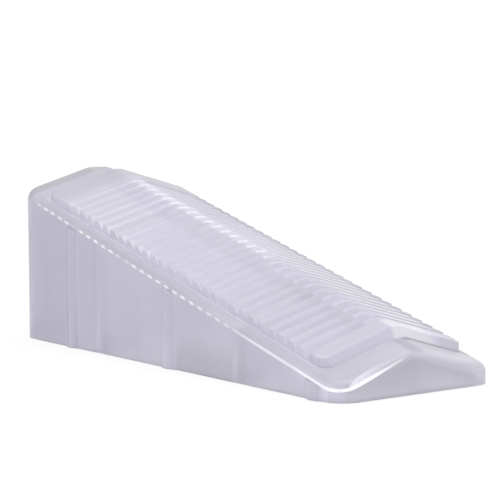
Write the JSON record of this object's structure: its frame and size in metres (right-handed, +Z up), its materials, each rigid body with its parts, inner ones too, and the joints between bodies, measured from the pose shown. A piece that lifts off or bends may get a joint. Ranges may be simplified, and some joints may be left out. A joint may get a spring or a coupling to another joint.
{
  "type": "tile levelling wedge",
  "caption": "Clear plastic wedge, hollow from below, with a gabled ramp and a serrated pad; pushed through a levelling clip, it presses neighbouring tiles level.",
  "frame": {"origin": "centre of the base plane, midway along the length and the width", "axes": "+X towards the thin front end, +Y across the wedge, +Z up from the tile it stands on"},
  "size_m": [0.075, 0.027, 0.0254],
  "materials": {
    "clear_plastic": "clear to milky moulded plastic, glossy, lightly hazed"
  },
  "bodies": {
    "root": {"wedge": "clear_plastic"}
  },
  "joints": []
}
